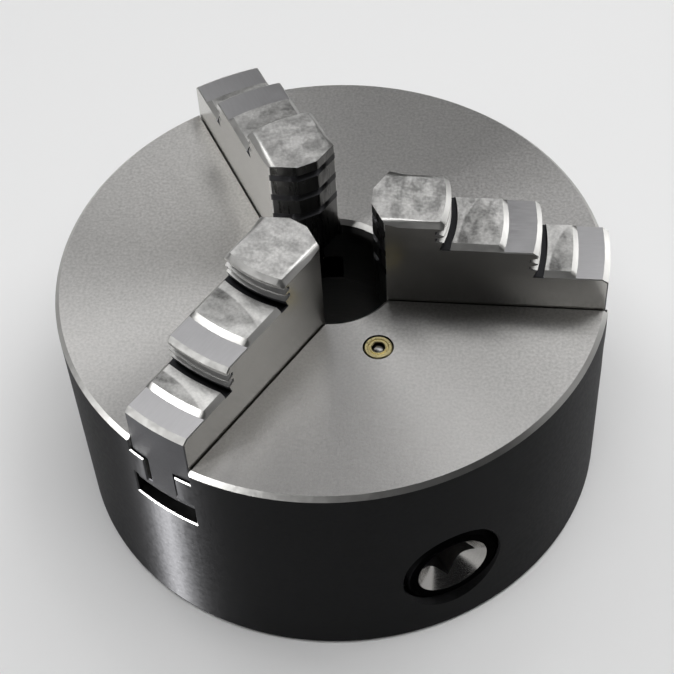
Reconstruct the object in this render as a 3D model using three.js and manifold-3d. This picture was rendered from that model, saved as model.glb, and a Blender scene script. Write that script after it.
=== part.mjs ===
// Self-centring three-jaw scroll chuck for a lathe, 125 mm class, with one-piece outside-stepped jaws.
// Millimetres, +Z up. The origin is the centre of the rear mounting face; +Z is the spindle axis,
// pointing out of the chuck face. Jaw 1 lies along +X, jaws 2 and 3 follow counter-clockwise.

import * as THREE from 'three';
import { mergeVertices } from 'three/addons/utils/BufferGeometryUtils.js';
import Module from 'manifold-3d';

const wasm = await Module();
wasm.setup();

// ---------------------------------------------------------------- driving dimensions

const GAP = 0.3;                       // running clearance between neighbouring pieces
const THIRD_TURN = 2 * Math.PI / 3;
const JAW_ANGLES = [0, THIRD_TURN, 2 * THIRD_TURN];
const PINION_ANGLES = [Math.PI / 3, Math.PI, 5 * Math.PI / 3];
const ROUND = 60;                      // facets of the large turned surfaces

const BODY_RADIUS = 62.5;
const BODY_HEIGHT = 58;
const BORE_RADIUS = 15;
const FACE_CHAMFER = 1.1;
const REAR_CHAMFER = 0.8;
const RECESS_RADIUS = 47.5;            // register that centres the chuck on its backplate
const RECESS_DEPTH = 4;
const CAVITY_RADIUS = 47.2;
const CAVITY_TOP = 43.4;
const HUB_RADIUS = 27;
const HUB_REAR = 9.8;

const SLOT_HALF_WIDTH = 8.2;           // jaw slot: wide channel, guide rails, wide channel
const RAIL_HALF_OPENING = 4.2;
const RAIL_TOP = 53.8;
const RAIL_UNDERSIDE = 46;
const SLOT_FLOOR = 38.8;

const BOLT_CIRCLE_RADIUS = 54;
const MOUNT_HOLE_RADIUS = 3.4;         // tapping size of M8
const MOUNT_HOLE_DEPTH = 15;

const SCROLL_BORE = HUB_RADIUS + GAP;
const SCROLL_RADIUS = CAVITY_RADIUS - GAP;
const SCROLL_ROOT = 38.9;              // floor of the spiral groove
const SCROLL_TIP = CAVITY_TOP - GAP;
const SCROLL_SEAT = 27.5;              // underside that runs on the rear cover
const SCROLL_SEAT_RADIUS = 33.6;
const SPIRAL_PITCH = 8;
const SPIRAL_RIDGE = 3.4;              // radial width of the spiral ridge
const SPIRAL_GROOVE = SPIRAL_PITCH - SPIRAL_RIDGE;

const CROWN_TEETH = 51;                // bevel teeth under the scroll
const PINION_TEETH = 10;
const GEAR_OUTER = 46.2;
const GEAR_INNER = 34.2;
const PINION_AXIS_Z = 21.8;            // height of the pinion axes, where the pitch cones meet
const PINION_PITCH_RADIUS = GEAR_OUTER * PINION_TEETH / CROWN_TEETH;
const ADDENDUM = 1.6;
const DEDENDUM = 2.1;

const PINION_HOLE_RADIUS = 11.7;
const PINION_SHANK_RADIUS = PINION_HOLE_RADIUS - GAP;
const PINION_SHANK_START = 47.3;
const PINION_FACE = 61.6;
const JOURNAL_RADIUS = 4;
const JOURNAL_END = 19.5;
const PINION_GROOVE_RADIUS = 9.5;      // groove that the retaining screw enters
const PINION_GROOVE_AT = 55;
const PINION_GROOVE_HALF = 1.7;
const KEY_SOCKET = 9.3;                // across the flats, for a 9 mm square key
const KEY_SOCKET_DEPTH = 13;
const COUNTERSINK_RADIUS = 8.4;

const COVER_REAR = RECESS_DEPTH;
const COVER_FRONT = HUB_REAR - GAP;
const COVER_COLLAR_INNER = 27.5;
const COVER_COLLAR_OUTER = 33;
const COVER_SCREW_CIRCLE = 21;
const COVER_HEAD_RADIUS = 3.5;
const COVER_HEAD_HEIGHT = 2.6;
const COVER_SHANK_RADIUS = 2;
const COVER_SCREW_END = 20;
const HEX_RADIUS = 1.45;               // corner radius of a 2.5 mm hexagon socket

const RETAINING_RADIUS = 2.5;          // headless screw under each pinion, with a dog point
const RETAINING_REAR = 0.8;
const RETAINING_SHOULDER = 8;
const RETAINING_TIP = 11.8;
const DOG_RADIUS = 1.4;

const NIPPLE_RADIUS = 3.15;
const NIPPLE_CIRCLE = 25;
const NIPPLE_ANGLE = 5 * Math.PI / 3;
const NIPPLE_BOTTOM = 50.4;
const OIL_HOLE_RADIUS = 1.1;
const OIL_HOLE_SLANT = 0.72;           // radians from the spindle axis, down to the scroll
const BALL_RADIUS = 1.7;
const BALL_HEIGHT = 56;

const JAW_HALF_WIDTH = SLOT_HALF_WIDTH - GAP;
const JAW_NECK_HALF = 3.3;
const JAW_NOSE = 10;                   // radius of the gripping flat
const JAW_NOSE_HALF = 2.3;
const JAW_FOOT_START = 14;
const JAW_FOOT_END = 61.5;
const JAW_TEETH_END = 56;
const JAW_TIERS = [                    // outer radius, height over the face, start and height of the pad
  { end: 26.9, top: 24.5, padStart: 0, padTop: 24.5 },
  { end: 46.6, top: 18.2, padStart: 38.2, padTop: 17 },
  { end: 61.8, top: 10.8, padStart: 53.6, padTop: 9.6 },
];
const NOSE_GROOVES = [21, 15, 9];      // heights over the face
const SERRATIONS = 2;                  // V grooves in each tier's outer wall
const SERRATION_DEPTH = 1.3;
const PAD_SLOPE = 0.9;                 // radial width of the small step from a milled top to its pad

// ---------------------------------------------------------------- solids and cuts

const turnZ = (angle) => new THREE.Matrix4().makeRotationZ(angle);
const place = (x, y, z) => new THREE.Matrix4().makeTranslation(x, y, z);

// A closed geometry as a manifold, its triangles turned to face outwards.
function solid(geometry, ...matrices) {
  const plain = geometry.clone();
  plain.deleteAttribute('normal');
  plain.deleteAttribute('uv');
  for (const matrix of matrices) plain.applyMatrix4(matrix);
  const merged = mergeVertices(plain, 1e-4);
  const index = merged.index.array;
  const position = merged.attributes.position.array;
  const corner = (i) => new THREE.Vector3().fromArray(position, 3 * i);
  const triangles = [];
  let volume = 0;
  for (let i = 0; i < index.length; i += 3) {
    const [a, b, c] = [index[i], index[i + 1], index[i + 2]];
    if (a === b || b === c || c === a) continue;
    triangles.push([a, b, c]);
    volume += corner(a).dot(corner(b).cross(corner(c)));
  }
  const facing = triangles.flatMap(([a, b, c]) => (volume > 0 ? [a, b, c] : [a, c, b]));
  return new wasm.Manifold(new wasm.Mesh({
    numProp: 3,
    vertProperties: new Float32Array(position),
    triVerts: new Uint32Array(facing),
  }));
}

function geometryOf(manifold) {
  const mesh = manifold.getMesh();
  const geometry = new THREE.BufferGeometry();
  geometry.setAttribute('position', new THREE.BufferAttribute(new Float32Array(mesh.vertProperties), 3));
  geometry.setIndex(new THREE.BufferAttribute(new Uint32Array(mesh.triVerts), 1));
  geometry.computeVertexNormals();
  return geometry;
}

// A closed profile of [radius, z] points turned about Z.
function turned(profile, segments = ROUND) {
  const points = [...profile, profile[0]].map(([radius, z]) => new THREE.Vector2(radius, z));
  return solid(new THREE.LatheGeometry(points, segments), new THREE.Matrix4().makeRotationX(Math.PI / 2));
}

function box(x0, x1, y0, y1, z0, z1) {
  const geometry = new THREE.BoxGeometry(x1 - x0, y1 - y0, z1 - z0);
  return solid(geometry, place((x0 + x1) / 2, (y0 + y1) / 2, (z0 + z1) / 2));
}

// A round bar or cone along Z at (x, y).
function rod(radius, z0, z1, x = 0, y = 0, segments = 16, topRadius = radius) {
  const geometry = new THREE.CylinderGeometry(topRadius, radius, z1 - z0, segments);
  return solid(geometry, new THREE.Matrix4().makeRotationX(Math.PI / 2), place(x, y, (z0 + z1) / 2));
}

// An outline of [x, y] points extruded along Z.
function prism(outline, z0, z1) {
  const shape = new THREE.Shape(outline.map(([x, y]) => new THREE.Vector2(x, y)));
  return solid(new THREE.ExtrudeGeometry(shape, { depth: z1 - z0, bevelEnabled: false }), place(0, 0, z0));
}

// Turns a piece built along +Z so that it lies along a radius at the height of the pinion axes.
function radially(manifold, angle) {
  const lay = new THREE.Matrix4().makeRotationY(Math.PI / 2);
  const matrix = turnZ(angle).multiply(place(0, 0, PINION_AXIS_Z)).multiply(lay);
  return manifold.transform(matrix.elements);
}

const around = (manifold, angle) => manifold.transform(turnZ(angle).elements);
const onCircle = (radius, angle) => [radius * Math.cos(angle), radius * Math.sin(angle)];
const union = (pieces) => pieces.reduce((whole, piece) => whole.add(piece));
const cut = (whole, pieces) => pieces.reduce((left, piece) => left.subtract(piece), whole);

// ---------------------------------------------------------------- chuck body

function jawSlot() {
  const end = BODY_RADIUS + 5;
  return union([
    box(5, end, -SLOT_HALF_WIDTH, SLOT_HALF_WIDTH, RAIL_TOP, BODY_HEIGHT + 2),
    box(5, end, -RAIL_HALF_OPENING, RAIL_HALF_OPENING, RAIL_UNDERSIDE - 1, RAIL_TOP + 1),
    box(5, end, -SLOT_HALF_WIDTH, SLOT_HALF_WIDTH, SLOT_FLOOR, RAIL_UNDERSIDE),
  ]);
}

// Hole for one pinion: shank bore with a countersunk mouth, and a blind journal hole in the hub.
function pinionHole() {
  return union([
    rod(PINION_HOLE_RADIUS, CAVITY_RADIUS - 6, BODY_RADIUS + 2, 0, 0, 32),
    rod(PINION_HOLE_RADIUS, BODY_RADIUS - 1.7, BODY_RADIUS + 0.7, 0, 0, 32, 14),
    rod(JOURNAL_RADIUS + GAP, JOURNAL_END - 0.5, HUB_RADIUS + 2),
  ]);
}

// Stepped hole from the rear rim for the dog-point screw that keeps a pinion in.
function retainingScrewHole(angle) {
  const [x, y] = onCircle(PINION_GROOVE_AT, angle);
  const thread = rod(RETAINING_RADIUS + GAP, -1, RETAINING_SHOULDER + GAP, x, y);
  const dog = rod(DOG_RADIUS + GAP, RETAINING_SHOULDER, RETAINING_TIP + 0.2, x, y);
  return thread.add(dog);
}

function oilHole() {
  const drilling = rod(OIL_HOLE_RADIUS, -1, 9, 0, 0, 10);
  const slant = new THREE.Matrix4().makeRotationY(Math.PI - OIL_HOLE_SLANT);
  const passage = drilling.transform(place(NIPPLE_CIRCLE, 0, NIPPLE_BOTTOM + 0.4).multiply(slant).elements);
  const seat = rod(NIPPLE_RADIUS + GAP, NIPPLE_BOTTOM - GAP, BODY_HEIGHT + 1, NIPPLE_CIRCLE, 0, 24);
  return around(seat.add(passage), NIPPLE_ANGLE);
}

function chuckBody() {
  const profile = [
    [BORE_RADIUS, HUB_REAR],
    [HUB_RADIUS, HUB_REAR],
    [HUB_RADIUS, CAVITY_TOP],
    [CAVITY_RADIUS, CAVITY_TOP],
    [CAVITY_RADIUS, RECESS_DEPTH],
    [RECESS_RADIUS, RECESS_DEPTH],
    [RECESS_RADIUS, 0],
    [BODY_RADIUS - REAR_CHAMFER, 0],
    [BODY_RADIUS, REAR_CHAMFER],
    [BODY_RADIUS, BODY_HEIGHT - FACE_CHAMFER],
    [BODY_RADIUS - FACE_CHAMFER, BODY_HEIGHT],
    [BORE_RADIUS + FACE_CHAMFER, BODY_HEIGHT],
    [BORE_RADIUS, BODY_HEIGHT - FACE_CHAMFER],
  ];
  const cuts = [oilHole()];
  for (const angle of JAW_ANGLES) {
    cuts.push(around(jawSlot(), angle));
    cuts.push(rod(MOUNT_HOLE_RADIUS, -1, MOUNT_HOLE_DEPTH, ...onCircle(BOLT_CIRCLE_RADIUS, angle)));
    const screwAt = onCircle(COVER_SCREW_CIRCLE, angle);
    cuts.push(rod(COVER_SHANK_RADIUS + GAP, HUB_REAR - 1, COVER_SCREW_END + 2, ...screwAt));
  }
  for (const angle of PINION_ANGLES) {
    cuts.push(radially(pinionHole(), angle));
    cuts.push(retainingScrewHole(angle));
  }
  return cut(turned(profile), cuts);
}

// ---------------------------------------------------------------- scroll plate

const spiralRadius = (theta) => SCROLL_BORE - 2 + SPIRAL_PITCH * theta / (2 * Math.PI);

// Band between two copies of the spiral; its radius grows counter-clockwise.
function spiralRidge() {
  const first = 2 * Math.PI * 1.6 / SPIRAL_PITCH;
  const last = 2 * Math.PI * (SCROLL_RADIUS - SCROLL_BORE + 0.6) / SPIRAL_PITCH;
  const steps = Math.round((last - first) / (Math.PI / 14));
  const along = Array.from({ length: steps + 1 }, (_, i) => first + (last - first) * i / steps);
  const inner = along.map((theta) => onCircle(spiralRadius(theta), theta));
  const outer = along.map((theta) => onCircle(spiralRadius(theta) + SPIRAL_RIDGE, theta));
  const outline = [...inner, ...outer.reverse()];
  const shape = new THREE.Shape(outline.map(([x, y]) => new THREE.Vector2(x, y)));
  const height = SCROLL_TIP - SCROLL_ROOT + 1;
  const band = new THREE.ExtrudeGeometry(shape, { depth: height, bevelEnabled: false });
  return solid(band, place(0, 0, SCROLL_ROOT - 1));
}

// Height of a cone through the pitch apex, raised or lowered in proportion to the radius.
const crownHeight = (radius, offset) =>
  PINION_AXIS_Z + (PINION_PITCH_RADIUS + offset) * radius / GEAR_OUTER;

// One straight bevel tooth hanging from the root cone, narrowing towards the axis.
function crownTooth(angle) {
  const geometry = new THREE.BoxGeometry(1, 1, 1);
  const position = geometry.attributes.position;
  const pitchAngle = 2 * Math.PI / CROWN_TEETH;
  for (let i = 0; i < position.count; i += 1) {
    const radius = position.getX(i) > 0 ? GEAR_OUTER : GEAR_INNER;
    const root = position.getZ(i) > 0;
    const half = (root ? 0.27 : 0.1) * pitchAngle;
    const side = position.getY(i) > 0 ? half : -half;
    const height = crownHeight(radius, root ? DEDENDUM + 0.4 : -ADDENDUM);
    position.setXYZ(i, ...onCircle(radius, angle + side), height);
  }
  return solid(geometry);
}

function scrollPlate() {
  const profile = [
    [SCROLL_BORE, SCROLL_SEAT],
    [SCROLL_SEAT_RADIUS, SCROLL_SEAT],
    [SCROLL_SEAT_RADIUS, crownHeight(SCROLL_SEAT_RADIUS, DEDENDUM)],
    [SCROLL_RADIUS, crownHeight(SCROLL_RADIUS, DEDENDUM)],
    [SCROLL_RADIUS, SCROLL_ROOT],
    [SCROLL_BORE, SCROLL_ROOT],
  ];
  const disc = turned(profile);
  const rim = turned([
    [SCROLL_BORE, SCROLL_ROOT - 2],
    [SCROLL_RADIUS, SCROLL_ROOT - 2],
    [SCROLL_RADIUS, SCROLL_TIP],
    [SCROLL_BORE, SCROLL_TIP],
  ]);
  const teeth = Array.from({ length: CROWN_TEETH }, (_, i) => crownTooth(i * 2 * Math.PI / CROWN_TEETH));
  return union([disc, spiralRidge().intersect(rim), ...teeth]);
}

// ---------------------------------------------------------------- pinions

// Bevel gear outline at the outer end: trapezoid teeth on the root circle.
function pinionOutline() {
  const pitchAngle = 2 * Math.PI / PINION_TEETH;
  const root = PINION_PITCH_RADIUS - DEDENDUM;
  const tip = PINION_PITCH_RADIUS + ADDENDUM;
  const flank = [[root, -0.25], [PINION_PITCH_RADIUS, -0.15], [tip, -0.05]];
  const tooth = [...flank, ...flank.map(([radius, share]) => [radius, -share]).reverse()];
  const teeth = Array.from({ length: PINION_TEETH }, (_, i) => i * pitchAngle);
  return teeth.flatMap((angle) => tooth.map(([radius, share]) => onCircle(radius, angle + share * pitchAngle)));
}

// The gear tapers towards the apex on the chuck axis.
function pinionGear() {
  const shape = new THREE.Shape(pinionOutline().map(([x, y]) => new THREE.Vector2(x, y)));
  const length = GEAR_OUTER - GEAR_INNER;
  const geometry = new THREE.ExtrudeGeometry(shape, { depth: length, bevelEnabled: false });
  geometry.translate(0, 0, GEAR_INNER);
  const position = geometry.attributes.position;
  for (let i = 0; i < position.count; i += 1) {
    const scale = position.getZ(i) / GEAR_OUTER;
    position.setXY(i, position.getX(i) * scale, position.getY(i) * scale);
  }
  return solid(geometry);
}

function pinion(angle) {
  const shank = turned([
    [0.01, PINION_SHANK_START],
    [PINION_SHANK_RADIUS, PINION_SHANK_START],
    [PINION_SHANK_RADIUS, PINION_GROOVE_AT - PINION_GROOVE_HALF],
    [PINION_GROOVE_RADIUS, PINION_GROOVE_AT - PINION_GROOVE_HALF],
    [PINION_GROOVE_RADIUS, PINION_GROOVE_AT + PINION_GROOVE_HALF],
    [PINION_SHANK_RADIUS, PINION_GROOVE_AT + PINION_GROOVE_HALF],
    [PINION_SHANK_RADIUS, PINION_FACE - 1],
    [PINION_SHANK_RADIUS - 1.4, PINION_FACE],
    [0.01, PINION_FACE],
  ], 24);
  const neck = rod(PINION_PITCH_RADIUS - DEDENDUM, GEAR_OUTER - 2, PINION_SHANK_START + 0.5, 0, 0, 24);
  const journal = rod(JOURNAL_RADIUS, JOURNAL_END, GEAR_INNER + 4);
  const whole = union([shank, neck, journal, pinionGear()]);
  const half = KEY_SOCKET / 2;
  const square = box(-half, half, -half, half, PINION_FACE - KEY_SOCKET_DEPTH, PINION_FACE + 1);
  const socket = around(square, Math.PI / 4);
  const sinkDepth = COUNTERSINK_RADIUS - half;
  const countersink = rod(half, PINION_FACE - sinkDepth, PINION_FACE, 0, 0, 24, COUNTERSINK_RADIUS);
  const keyed = cut(whole, [socket, countersink]);
  return radially(keyed, angle);
}

// ---------------------------------------------------------------- rear cover and screws

function backCover() {
  const disc = turned([
    [BORE_RADIUS, COVER_REAR],
    [CAVITY_RADIUS - GAP, COVER_REAR],
    [CAVITY_RADIUS - GAP, COVER_FRONT],
    [COVER_COLLAR_OUTER, COVER_FRONT],
    [COVER_COLLAR_OUTER, SCROLL_SEAT - GAP],
    [COVER_COLLAR_INNER, SCROLL_SEAT - GAP],
    [COVER_COLLAR_INNER, COVER_FRONT],
    [BORE_RADIUS, COVER_FRONT],
  ]);
  const cuts = [];
  const notch = JOURNAL_RADIUS + 0.5;
  for (const angle of PINION_ANGLES) {
    cuts.push(around(box(25, 36, -notch, notch, PINION_AXIS_Z - notch, SCROLL_SEAT + 1), angle));
  }
  for (const angle of JAW_ANGLES) {
    const [x, y] = onCircle(COVER_SCREW_CIRCLE, angle);
    cuts.push(rod(COVER_SHANK_RADIUS + GAP, COVER_REAR - 1, COVER_FRONT + 1, x, y));
    cuts.push(rod(COVER_HEAD_RADIUS + GAP, COVER_REAR - 1, COVER_REAR + COVER_HEAD_HEIGHT + GAP, x, y, 24));
  }
  return cut(disc, cuts);
}

// Low-head socket screw seen from the rear, with a hexagon socket.
function coverScrew(angle) {
  const [x, y] = onCircle(COVER_SCREW_CIRCLE, angle);
  const head = rod(COVER_HEAD_RADIUS - 0.4, COVER_REAR, COVER_REAR + 0.4, x, y, 24, COVER_HEAD_RADIUS);
  const barrel = rod(COVER_HEAD_RADIUS, COVER_REAR + 0.4, COVER_REAR + COVER_HEAD_HEIGHT, x, y, 24);
  const shank = rod(COVER_SHANK_RADIUS, COVER_REAR + 1, COVER_SCREW_END, x, y);
  return cut(union([head, barrel, shank]), [rod(HEX_RADIUS, COVER_REAR - 1, COVER_REAR + 1.6, x, y, 6)]);
}

// Headless screw with a dog point that reaches into the pinion's groove.
function retainingScrew(angle) {
  const [x, y] = onCircle(PINION_GROOVE_AT, angle);
  const thread = rod(RETAINING_RADIUS, RETAINING_REAR, RETAINING_SHOULDER, x, y);
  const dog = rod(DOG_RADIUS, RETAINING_SHOULDER - 0.5, RETAINING_TIP, x, y, 12);
  return cut(thread.add(dog), [rod(HEX_RADIUS, RETAINING_REAR - 1, RETAINING_REAR + 2.2, x, y, 6)]);
}

// ---------------------------------------------------------------- oil nipple

// The nipple's three pieces are made about their own axis and moved to their place on the face.
const atNipple = (manifold) => manifold.transform(place(...onCircle(NIPPLE_CIRCLE, NIPPLE_ANGLE), 0).elements);

function nippleBody() {
  return atNipple(turned([
    [0.5, NIPPLE_BOTTOM],
    [NIPPLE_RADIUS, NIPPLE_BOTTOM],
    [NIPPLE_RADIUS, BODY_HEIGHT - 0.3],
    [NIPPLE_RADIUS - 0.3, BODY_HEIGHT],
    [1.4, BODY_HEIGHT],
    [2.1, BODY_HEIGHT - 1.1],
    [2.1, NIPPLE_BOTTOM + 1],
    [0.5, NIPPLE_BOTTOM + 1],
  ], 24));
}

function nippleBall() {
  return atNipple(solid(new THREE.SphereGeometry(BALL_RADIUS, 10, 7), place(0, 0, BALL_HEIGHT)));
}

class Helix extends THREE.Curve {
  constructor(radius, bottom, top, turns) {
    super();
    Object.assign(this, { radius, bottom, top, turns });
  }

  getPoint(t) {
    const angle = 2 * Math.PI * this.turns * t;
    const height = this.bottom + (this.top - this.bottom) * t;
    return new THREE.Vector3(this.radius * Math.cos(angle), this.radius * Math.sin(angle), height);
  }
}

function nippleSpring() {
  const section = Array.from({ length: 5 }, (_, i) => new THREE.Vector2(...onCircle(0.2, i * Math.PI * 0.4)));
  const wire = new THREE.Shape(section);
  const path = new Helix(1.3, NIPPLE_BOTTOM + 1.5, BALL_HEIGHT - BALL_RADIUS - 0.5, 3.5);
  const coil = new THREE.ExtrudeGeometry(wire, { steps: 32, bevelEnabled: false, extrudePath: path });
  return atNipple(solid(coil));
}

// ---------------------------------------------------------------- jaws

// Outer wall of a tier down to the next one: chamfer, two V serrations and an undercut at the foot.
function serratedWall(radius, top, foot) {
  const pitch = (top - foot - 1.6) / SERRATIONS;
  const points = [[radius - 1.2, top], [radius, top - 0.9]];
  for (let i = 0; i < SERRATIONS; i += 1) {
    const edge = top - 1.2 - i * pitch;
    points.push([radius, edge]);
    points.push([radius - SERRATION_DEPTH, edge - pitch * 0.45]);
    points.push([radius, edge - pitch * 0.8]);
  }
  return [...points, [radius - 0.6, foot - 0.7], [radius + 1.2, foot - 0.7], [radius + 1.5, foot]];
}

// Half section of the stepped jaws, turned about the chuck axis so that every wall is an arc round it.
function jawSteps() {
  const base = RAIL_TOP + GAP - BODY_HEIGHT;
  const [first, second, third] = JAW_TIERS;
  const heights = [
    [5, first.top],
    ...serratedWall(first.end, first.top, second.top),
    [second.padStart, second.top],
    [second.padStart + PAD_SLOPE, second.padTop],
    ...serratedWall(second.end, second.padTop, third.top),
    [third.padStart, third.top],
    [third.padStart + PAD_SLOPE, third.padTop],
    [third.end - 1.4, third.padTop],
    [third.end, third.padTop - 1.1],
    [third.end, base],
    [5, base],
  ];
  return turned(heights.map(([radius, height]) => [radius, BODY_HEIGHT + height]));
}

// Plan of the jaw: gripping flat, two 60 degree flanks and parallel sides.
function jawPlan(nose, noseHalf, half, end) {
  const flank = nose + (half - noseHalf) / Math.tan(Math.PI / 3);
  return [[nose, -noseHalf], [flank, -half], [end, -half], [end, half], [flank, half], [nose, noseHalf]];
}

// V groove across the nose, as three bars that follow the flat and its two flanks.
function noseGroove(height) {
  const z = BODY_HEIGHT + height;
  const vee = [[-0.9, 0], [0, -0.8], [0.9, 0], [0, 0.8]];
  const across = new THREE.Matrix4().makeRotationX(Math.PI / 2).elements;
  const bar = (length) => prism(vee, -length / 2, length / 2).transform(across);
  const flank = (side) => {
    const along = Math.PI / 3 * side;
    const middle = jawPlan(JAW_NOSE, JAW_NOSE_HALF, JAW_HALF_WIDTH, JAW_NOSE + 5);
    const x = (middle[0][0] + middle[1][0]) / 2;
    const y = (middle[0][1] + middle[1][1]) / 2;
    return bar(9).transform(place(x, side * y, z).multiply(turnZ(along - side * Math.PI / 2)).elements);
  };
  return union([bar(7).transform(place(JAW_NOSE, 0, z).elements), flank(1), flank(-1)]);
}

// Sideways bend of the spiral at a distance y from the jaw's centre line.
const bend = (y, radius) => (SPIRAL_PITCH * y / (2 * Math.PI) - y * y / 2) / radius;

// Rack tooth at a radius: its flanks clear the spiral at both ends of the scroll.
function jawTooth(radius) {
  const half = SPIRAL_GROOVE / 2 - 1.3 * GAP;
  const across = Array.from({ length: 6 }, (_, i) => (JAW_HALF_WIDTH - 0.1) * (i / 2.5 - 1));
  const bends = across.map((y) => [bend(y, SCROLL_BORE), bend(y, SCROLL_RADIUS)]);
  const inner = across.map((y, i) => [radius - half + Math.max(...bends[i]), y]);
  const outer = across.map((y, i) => [radius + half + Math.min(...bends[i]), y]);
  return prism([...outer, ...inner.reverse()], SCROLL_ROOT + GAP, CAVITY_TOP + 0.6);
}

function jaw(number) {
  const upper = jawSteps().intersect(
    prism(jawPlan(JAW_NOSE, JAW_NOSE_HALF, JAW_HALF_WIDTH, BODY_RADIUS), RAIL_TOP, BODY_HEIGHT + 30));
  const neckPlan = jawPlan(JAW_NOSE + 2, 1, JAW_NECK_HALF, JAW_FOOT_END);
  const neck = prism(neckPlan, RAIL_UNDERSIDE - 1, RAIL_TOP + 1);
  const flangePlan = jawPlan(JAW_FOOT_START, 3, JAW_HALF_WIDTH, JAW_FOOT_END);
  const flange = prism(flangePlan, CAVITY_TOP + 0.2, RAIL_UNDERSIDE - GAP);
  const grooveCentre = SCROLL_BORE - 2 + SPIRAL_RIDGE + SPIRAL_GROOVE / 2 + SPIRAL_PITCH * number / 3;
  const teeth = [];
  for (let radius = grooveCentre % SPIRAL_PITCH; radius < JAW_TEETH_END; radius += SPIRAL_PITCH) {
    if (radius > JAW_FOOT_START + 4) teeth.push(jawTooth(radius));
  }
  return cut(union([upper, neck, flange, ...teeth]), NOSE_GROOVES.map(noseGroove));
}

// ---------------------------------------------------------------- materials

const material = (color, roughness, metalness = 1) =>
  new THREE.MeshStandardMaterial({ color, roughness, metalness });

const blackenedSteel = () => material('#2b2b2c', 0.5, 0.8);
const groundSteel = () => material('#b9b7b2', 0.35);
const hardenedSteel = () => material('#8d8c89', 0.4);
const screwSteel = () => material('#3a3a3c', 0.45);
const brass = () => material('#c9a860', 0.35);

// ---------------------------------------------------------------- assembly

const group = new THREE.Group();

function addPiece(name, manifold, look) {
  const mesh = new THREE.Mesh(geometryOf(manifold), look);
  mesh.name = name;
  group.add(mesh);
}

addPiece('chuck_body', chuckBody(), blackenedSteel());
addPiece('scroll_plate', scrollPlate(), hardenedSteel());
addPiece('back_cover', backCover(), blackenedSteel());

PINION_ANGLES.forEach((angle, i) => {
  addPiece(`pinion_${i + 1}`, pinion(angle), hardenedSteel());
  addPiece(`pinion_retaining_screw_${i + 1}`, retainingScrew(angle), screwSteel());
});

JAW_ANGLES.forEach((angle, i) => {
  addPiece(`jaw_${i + 1}`, around(jaw(i), angle), groundSteel());
  addPiece(`cover_screw_${i + 1}`, coverScrew(angle), screwSteel());
});

addPiece('oil_nipple_body', nippleBody(), brass());
addPiece('oil_nipple_ball', nippleBall(), hardenedSteel());
addPiece('oil_nipple_spring', nippleSpring(), hardenedSteel());

export default group;
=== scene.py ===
from math import ceil, cos, hypot, pi, radians, sin, sqrt, tan

import bmesh
import bpy
from mathutils import Matrix, Vector


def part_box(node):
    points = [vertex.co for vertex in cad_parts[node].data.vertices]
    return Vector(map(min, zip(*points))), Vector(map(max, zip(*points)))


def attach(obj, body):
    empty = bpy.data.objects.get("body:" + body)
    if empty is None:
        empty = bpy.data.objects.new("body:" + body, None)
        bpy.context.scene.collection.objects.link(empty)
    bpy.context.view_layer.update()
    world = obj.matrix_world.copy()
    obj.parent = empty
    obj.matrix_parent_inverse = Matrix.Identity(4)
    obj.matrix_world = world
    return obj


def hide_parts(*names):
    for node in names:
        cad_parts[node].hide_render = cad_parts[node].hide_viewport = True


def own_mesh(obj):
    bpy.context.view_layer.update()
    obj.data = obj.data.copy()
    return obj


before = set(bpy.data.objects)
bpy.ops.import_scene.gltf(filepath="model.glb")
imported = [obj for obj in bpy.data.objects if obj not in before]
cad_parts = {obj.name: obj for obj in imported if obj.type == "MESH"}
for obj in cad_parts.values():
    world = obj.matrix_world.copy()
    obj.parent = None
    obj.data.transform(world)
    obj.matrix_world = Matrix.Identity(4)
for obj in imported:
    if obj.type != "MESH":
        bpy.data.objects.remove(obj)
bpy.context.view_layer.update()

# ---------------------------------------------------------------- sizes, in millimetres

MM = 0.001                                   # metres in one millimetre
JAW_ANGLES = [0, 120, 240]                   # degrees, jaw 1 along +X
PINION_ANGLES = [60, 180, 300]


def cad_size(node, corner, axis):
    """A coordinate of a CAD node's box, in millimetres."""
    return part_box(node)[corner]["xyz".index(axis)] / MM


BODY_RADIUS = cad_size("chuck_body", 1, "x")
BODY_HEIGHT = cad_size("chuck_body", 1, "z")
BORE_RADIUS = 15
FACE_CHAMFER = 1.0
REAR_CHAMFER = 0.8
RECESS_RADIUS = 47.5
CAVITY_RADIUS = 47.2
CAVITY_TOP = 43.4
HUB_RADIUS = 27
HUB_REAR = 9.8
SLOT_HALF = 8.1
SLOT_FLOOR = 38.8
RAIL_HALF = 4.1
RAIL_TOP = 53.8
RAIL_UNDERSIDE = 46
EDGE_BREAK = 0.22                            # width of the small chamfers on machined edges
WINDOW_BREAK = 0.3                           # of the chamfer round a slot's window in the side wall

BOLT_CIRCLE = 54
THREAD_MINOR = 3.4                           # M8 holes in the rear rim
THREAD_MAJOR = 3.95
THREAD_PITCH = 1.25
THREAD_START = 1
BOLT_HOLE_DEPTH = 15
DRILL_POINT = 1.8                            # depth of the cone at the bottom of a drilled hole

SCROLL_BORE = 27.3
SCROLL_RADIUS = 46.9
SCROLL_ROOT = 38.9
SCROLL_TIP = cad_size("scroll_plate", 1, "z")
SCROLL_SEAT = cad_size("scroll_plate", 0, "z")
SCROLL_SEAT_RADIUS = 33.6
SPIRAL_PITCH = 8
SPIRAL_RIDGE = 3.4
SPIRAL_START = SCROLL_BORE - 2               # radius of the spiral at the start of its first turn
CROWN_TEETH = 51
PINION_TEETH = 10
GEAR_OUTER = 46.2
GEAR_INNER = 34.2
GEAR_PITCH = GEAR_OUTER * PINION_TEETH / CROWN_TEETH
ADDENDUM = 1.6
DEDENDUM = 2.1

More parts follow.
